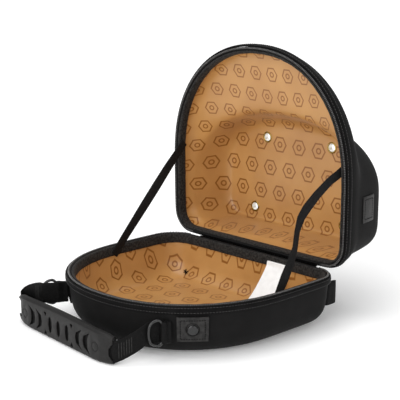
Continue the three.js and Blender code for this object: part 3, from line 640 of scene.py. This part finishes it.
def lay_copies(pattern, places, name, material):
    """One piece made of copies of a pattern, one at each place."""
    copies = []
    for place in places:
        one = pattern.copy()
        one.data = pattern.data.copy()
        bpy.context.collection.objects.link(one)
        one.matrix_world = place
        copies.append(one)
    select_only(*copies)
    bpy.ops.object.join()
    bpy.ops.object.transform_apply(location=True, rotation=True, scale=True)
    piece = bpy.context.object
    piece.name = name
    piece.data.materials.clear()
    piece.data.materials.append(material)
    smooth_shade(piece, angle=50)
    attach(piece, "root")
    bpy.data.objects.remove(pattern)


def small_block(size, narrowing, rounding):
    """A block with a narrower top and round edges, for a tooth or a stitch."""
    bpy.ops.object.select_all(action="DESELECT")
    bpy.ops.mesh.primitive_cube_add(size=1, scale=size)
    bpy.ops.object.transform_apply(location=False, rotation=False, scale=True)
    block = bpy.context.object
    mesh = edit(block)
    bpy.ops.mesh.select_mode(type="FACE")
    mesh.faces.ensure_lookup_table()
    for face in mesh.faces:
        face.select_set(face.normal.z > TOP_FACING)
    bpy.ops.transform.resize(value=(narrowing, narrowing, 1))
    bpy.ops.mesh.select_all(action="SELECT")
    bpy.ops.mesh.bevel(offset=rounding, segments=1)
    leave_edit()
    return block


def hinge_way(point, half):
    """How far a point of a rim lies towards the hinge."""
    return point.y if half == "tray" else -point.z


rims = {
    "tray": rim_frame(nodes["tray_zipper"], nodes["tray_shell"]),
    "lid": rim_frame(nodes["lid_zipper"], nodes["lid_shell"]),
}
for half, rim in rims.items():
    middle, _, _, facing = rim
    top = max((vertex.co - middle).dot(facing) for vertex in trims[half + "_zipper"].data.vertices)
    outline = rim_run(trims[half + "_zipper"], rim, top - TRACK_DROP)
    back = max(hinge_way(point, half) for point, _ in outline)
    track = [
        (point + facing * TOOTH_RISE - normal * TOOTH_INSET, facing) for point, normal in outline
        if hinge_way(point, half) < back - HINGE_DEPTH or abs(point.x) > HINGE_HALF]
    steps = [(track[index][0] - track[index - 1][0]).length for index in range(len(track))]
    first = steps.index(max(steps))
    track = track[first:] + track[:first]
    tooth = small_block(TOOTH_SIZE, TOOTH_TOP, TOOTH_ROUNDING)
    lay_copies(
        tooth, places_along(track, TOOTH_PITCH), half + "_zip_teeth", tooth_nylon_painted_highlight)

# Stitching on the bands.
# Black thread holds each band to its shell in two rows of straight stitches, one near each edge.
# Each stitch is a small block, laid where a ray from outside meets the band.

STITCH_PITCH = 0.0036
STITCH_SIZE = (0.0027, 0.0006, 0.0006)
STITCH_TOP = 0.7
STITCH_ROUNDING = 0.00015
STITCH_ROWS = (0.2, 0.8)

# The thread is black; its dark grey colour, lighter than the band, is painted highlight along the
# rows.
band_thread_painted_highlight, surface = new_material(
    "band_thread_painted_highlight", (0.03, 0.029, 0.028, 1), roughness=0.4, Specular_IOR_Level=0.5)
mottle(band_thread_painted_highlight, surface,
       dark=(0.02, 0.019, 0.0185, 1), light=(0.045, 0.043, 0.042, 1), scale=700)

for half, rim in rims.items():
    middle, _, _, facing = rim
    band = trims[half + "_edge_band"]
    heights = [(vertex.co - middle).dot(facing) for vertex in band.data.vertices]
    for row, share in enumerate(STITCH_ROWS):
        level = min(heights) + (max(heights) - min(heights)) * share
        places = places_along(rim_run(band, rim, level), STITCH_PITCH)
        stitch = small_block(STITCH_SIZE, STITCH_TOP, STITCH_ROUNDING)
        lay_copies(stitch, places, f"{half}_band_stitches_{row + 1}", band_thread_painted_highlight)

# Straps, stays, tag and label.
# Flat woven elastic for the stays and webbing for the tag, the tabs and the handle, all sewn in
# at their ends. Their long edges stay sharp while their run is smooth. The label is a strip of
# white satin, left bare and sewn in at the hinge.

stay_elastic, surface = new_material(
    "stay_elastic", (0.005, 0.0046, 0.0046, 1), roughness=0.7,
    Sheen_Weight=0.02, Specular_IOR_Level=0.15)
mottle(stay_elastic, surface,
       dark=(0.0035, 0.0032, 0.0032, 1), light=(0.008, 0.0074, 0.0074, 1), scale=300)
weave(stay_elastic, surface, pitch=0.0011, depth=0.0003)

webbing_weave, surface = new_material(
    "webbing_weave", (0.0025, 0.0023, 0.0023, 1), roughness=0.6,
    Sheen_Weight=0.01, Specular_IOR_Level=0.12)
mottle(webbing_weave, surface,
       dark=(0.0018, 0.0017, 0.0017, 1), light=(0.0035, 0.0033, 0.0033, 1), scale=260)
weave(webbing_weave, surface, pitch=0.0016, depth=0.0005)

label_satin, surface = new_material(
    "label_satin", (0.88, 0.885, 0.88, 1), roughness=0.5, Sheen_Weight=0.1)
mottle(label_satin, surface, dark=(0.84, 0.845, 0.84, 1), light=(0.92, 0.925, 0.92, 1), scale=120)
weave(label_satin, surface, pitch=0.0005, depth=0.00005)

STRAPS = [
    {"node": "stay_left", "material": stay_elastic, "slot": "stay_elastic"},
    {"node": "stay_right", "material": stay_elastic, "slot": "stay_elastic"},
    {"node": "care_label", "material": label_satin, "slot": "label_satin"},
    {"node": "tray_corner_tag", "material": webbing_weave, "slot": "webbing"},
    {"node": "ring_tab_near", "material": webbing_weave, "slot": "webbing"},
    {"node": "ring_tab_far", "material": webbing_weave, "slot": "webbing"},
    {"node": "handle_webbing", "material": webbing_weave, "slot": "webbing"},
]
SHARP_ANGLE = 60
EDGE_CREASE = 0.9
straps = {}
for strap in STRAPS:
    strip = copy_of(strap["node"], strap["node"] + "_strap")
    edit(strip)
    bpy.ops.mesh.edges_select_sharp(sharpness=math.radians(SHARP_ANGLE))
    bpy.ops.transform.edge_crease(value=EDGE_CREASE)
    leave_edit()
    subdivide(strip, levels=2)
    strip.data.materials.append(strap["material"])
    smooth_shade(strip, angle=40)
    straps[strap["node"]] = strip

# Leather patches.
# Squares of black grained leather, sewn on with black thread that sinks into them. Two hold the
# handle's tabs, each with a stud in a pressed groove; a plain one sits on the side of the dome.

patch_leather, surface = new_material(
    "patch_leather", (0.018, 0.0171, 0.0167, 1), roughness=0.43, Specular_IOR_Level=0.2)
mottle(patch_leather, surface,
       dark=(0.01, 0.0095, 0.0092, 1), light=(0.027, 0.0257, 0.025, 1), scale=240)

sunk_thread, surface = new_material(
    "sunk_thread", (0.0022, 0.0021, 0.002, 1), roughness=0.6, Specular_IOR_Level=0.1)
mottle(sunk_thread, surface,
       dark=(0.0015, 0.0014, 0.0014, 1), light=(0.0035, 0.0033, 0.0032, 1), scale=700)

PATCH_STITCH = (0.0023, 0.0013, 0.0007)
PATCH_PITCH = 0.0029
PATCH_MARGIN = 0.0042
PATCH_EDGE = 0.0005
OUTER_SHARE = 0.6
CAST_HEIGHT = 0.03
SQUARE_STEPS = 24
STUD_GROOVE = 0.0069
GROOVE_DEPTH = 0.0013


def outer_side(piece):
    """Middle of a patch and the way that its outer side faces."""
    middle = vertex_middle(piece)
    away = Vector((middle.x, min(middle.y, 0), 0)).normalized()
    outer = [face for face in piece.data.polygons if face.normal.dot(away) > OUTER_SHARE]
    return middle, sum((face.normal * face.area for face in outer), Vector()).normalized()


def square_run(piece):
    """Points and outward directions round a square on a patch's outer side, in from its edges."""
    middle, out = outer_side(piece)
    across = Vector((0, 0, 1)).cross(out).normalized()
    up = out.cross(across)
    tree = cast_tree(piece)
    wide, tall = (
        max(abs((vertex.co - middle).dot(way)) for vertex in piece.data.vertices) - PATCH_MARGIN
        for way in (across, up))
    corners = ((-1, -1), (1, -1), (1, 1), (-1, 1), (-1, -1))
    run = []
    for (x, y), (next_x, next_y) in zip(corners, corners[1:]):
        for step in range(SQUARE_STEPS + 1):
            share = step / SQUARE_STEPS
            aside = across * wide * (x + (next_x - x) * share)
            above = up * tall * (y + (next_y - y) * share)
            point = tree.ray_cast(middle + aside + above + out * CAST_HEIGHT, -out)[0]
            if point:
                run.append((point, out))
    return run


def cut_groove(piece, place, out, radius, depth):
    """Cuts a round groove into a face, about a point on it."""
    bpy.ops.object.select_all(action="DESELECT")
    bpy.ops.mesh.primitive_torus_add(
        major_radius=radius, minor_radius=depth, major_segments=40, minor_segments=8,
        location=place, rotation=out.to_track_quat("Z", "Y").to_euler())
    cutter = bpy.context.object
    cut_away(piece, cutter)
    bpy.data.objects.remove(cutter)


def press_groove(piece, rivet):
    """A round groove pressed into a patch about its stud."""
    _, out = outer_side(piece)
    stud = box_middle(rivet)
    across = Vector((0, 0, 1)).cross(out).normalized()
    start = stud + across * STUD_GROOVE + out * CAST_HEIGHT
    face = cast_tree(piece).ray_cast(start, -out)[0]
    cut_groove(piece, stud + out * (face - stud).dot(out), out, STUD_GROOVE, GROOVE_DEPTH)


def round_edges(piece, width, segments, angle):
    """Rounds the edges that are sharper than this angle."""
    edge = piece.modifiers.new("edge", "BEVEL")
    edge.width = width
    edge.segments = segments
    edge.limit_method = "ANGLE"
    edge.angle_limit = math.radians(angle)
    apply_all(piece)


for node in ("ring_patch_near", "ring_patch_far", "lid_side_patch"):
    patch = copy_of(node, node + "_leather")
    if node.startswith("ring_patch"):
        press_groove(patch, node.replace("ring_patch", "rivet"))
    round_edges(patch, PATCH_EDGE, segments=3, angle=50)
    patch.data.materials.append(patch_leather)
    smooth_shade(patch, angle=40)
    stitch = small_block(PATCH_STITCH, STITCH_TOP, STITCH_ROUNDING)
    places = places_along(square_run(patch), PATCH_PITCH)
    lay_copies(stitch, places, node + "_stitches", sunk_thread)

# Rings, studs and slider.
# Bent wire rings, flat-headed studs and a die-cast slider, all plated black. The rings
# hang in the webbing tabs, the studs go through the patches and the slider ends the zip.

METAL_EDGE = 0.0006
RING_SWELL = 0.00028

black_metal, surface = new_material(
    "black_metal", (0.004, 0.004, 0.0042, 1), roughness=0.1, Specular_IOR_Level=0.55)
mottle(black_metal, surface,
       dark=(0.003, 0.003, 0.0032, 1), light=(0.006, 0.006, 0.0063, 1), scale=300)

for node in ("d_ring_near", "d_ring_far", "rivet_near", "rivet_far", "zip_slider"):
    fitting = copy_of(node, node + "_metal")
    if node.startswith("d_ring"):
        subdivide(fitting, levels=2)
        swell(fitting, RING_SWELL)
    else:
        round_edges(fitting, METAL_EDGE, segments=3, angle=30)
    fitting.data.materials.append(black_metal)
    smooth_shade(fitting, angle=50)

# Moulded grip.
# A sleeve of dark grey rubber, slid over the webbing and moulded with crescent cut-outs through
# its front wall. A ring is pressed into the front near each end.

grip_rubber, surface = new_material(
    "grip_rubber", (0.011, 0.0104, 0.0101, 1), roughness=0.5, Specular_IOR_Level=0.22)
mottle(grip_rubber, surface,
       dark=(0.009, 0.0085, 0.0082, 1), light=(0.0135, 0.0128, 0.0124, 1), scale=180)
weave(grip_rubber, surface, pitch=0.0012, depth=0.00012)

GRIP_MIDDLE = Vector((-0.0375, -0.15275, 0))
GRIP_TURN = math.radians(-5.14)
GRIP_STRAIGHT = 0.068
GRIP_BEND = 0.07
GRIP_HALF_WALL = 0.0048
BOSS_REACH = 0.0743
BOSS_UP = 0.0173
BOSS_RADIUS = 0.0054
BOSS_GROOVE = 0.0009
GRIP_EDGE = 0.0006


def grip_front(length, up):
    """A point on the grip's front face and the way that it faces there."""
    bent = max(0, abs(length) - GRIP_STRAIGHT) / GRIP_BEND
    side = math.copysign(1, length)
    along = side * (min(abs(length), GRIP_STRAIGHT) + GRIP_BEND * math.sin(bent))
    out = Vector((side * math.sin(bent), -math.cos(bent), 0))
    face = Vector((along, GRIP_BEND * (1 - math.cos(bent)), up)) + out * GRIP_HALF_WALL
    turn = Matrix.Rotation(GRIP_TURN, 3, "Z")
    return GRIP_MIDDLE + turn @ face, turn @ out


grip = copy_of("handle_grip", "handle_grip_rubber")
for length in (-BOSS_REACH, BOSS_REACH):
    point, out = grip_front(length, BOSS_UP)
    cut_groove(grip, point, out, BOSS_RADIUS, BOSS_GROOVE)
round_edges(grip, GRIP_EDGE, segments=2, angle=35)
grip.data.materials.append(grip_rubber)
smooth_shade(grip, angle=40)

# Ribs of the handle's webbing.
# Where the strap is folded back beside the grip and beside the far ring, rows of stitching stand
# up as ribs across it.

RIB_SIZE = (0.0014, 0.0238, 0.0013)
RIB_TOP = 0.6
RIB_ROUNDING = 0.0002
RIB_PITCH = 0.0026
NEAR_RIBS = {"start": Vector((0.15, -0.1525, 0)), "step": Vector((0, RIB_PITCH, 0)), "count": 6}
FAR_RIBS = {"start": Vector((-0.1285, -0.143, 0)), "step": Vector((RIB_PITCH, 0, 0)), "count": 5}
CAST_LEVELS = 110
CAST_STEP = 0.0005
FACE_REACH = 0.004

webbing_ribbing, surface = new_material(
    "webbing_ribbing", (0.018, 0.0174, 0.017, 1), roughness=0.55, Specular_IOR_Level=0.2)
mottle(webbing_ribbing, surface,
       dark=(0.011, 0.0106, 0.0103, 1), light=(0.027, 0.0261, 0.0255, 1), scale=500)


def strap_ribs(row, way, name):
    """Upright ribs where rays sent this way, one column for each rib, first meet the strap."""
    tree = cast_tree(straps["handle_webbing"])
    up = Vector((0, 0, 1))
    places = []
    for index in range(row["count"]):
        start = row["start"] + row["step"] * index
        casts = [tree.ray_cast(start + up * level * CAST_STEP, way) for level in range(CAST_LEVELS)]
        hits = [(point, normal) for point, normal, _, _ in casts if point]
        if hits:
            centre, normal = hits[len(hits) // 2]
            face = [point for point, _ in hits if (point - centre).xy.length < FACE_REACH]
            middle = (face[0] + face[-1]) / 2
            out = normal.xy.to_3d().normalized()
            turn = Matrix((up.cross(out), up, out)).transposed().to_4x4()
            places.append(Matrix.Translation(middle) @ turn)
    rib = small_block(RIB_SIZE, RIB_TOP, RIB_ROUNDING)
    lay_copies(rib, places, name, webbing_ribbing)


strap_ribs(NEAR_RIBS, Vector((-1, 0, 0)), "webbing_ribs_near")
strap_ribs(FAR_RIBS, Vector((0, 1, 0)), "webbing_ribs_far")

# Loose end of thread.
# A short end of black sewing thread, left in the rear corner of the tray when it was sewn. It
# lies on the lining as three crossed strands.

KNOT_PLACE = Vector((-0.1107, 0.1166, 0.0128))
KNOT_OUT = Vector((0.08, -0.79, 0.61)).normalized()
KNOT_LIFT = 0.0005
KNOT_STRANDS = ((0.3, 0.0), (1.9, 0.0006), (2.7, 0.0011))
KNOT_SIZE = (0.009, 0.0014, 0.0011)
KNOT_TOP = 0.8
KNOT_ROUNDING = 0.0003

across = Vector((0, 0, 1)).cross(KNOT_OUT).normalized()
facing = Matrix((across, KNOT_OUT.cross(across), KNOT_OUT)).transposed().to_4x4()
strands = []
for turn, rise in KNOT_STRANDS:
    place = Matrix.Translation(KNOT_PLACE + KNOT_OUT * (KNOT_LIFT + rise))
    strands.append(place @ facing @ Matrix.Rotation(turn, 4, "Z"))
strand = small_block(KNOT_SIZE, KNOT_TOP, KNOT_ROUNDING)
lay_copies(strand, strands, "loose_thread", sunk_thread)
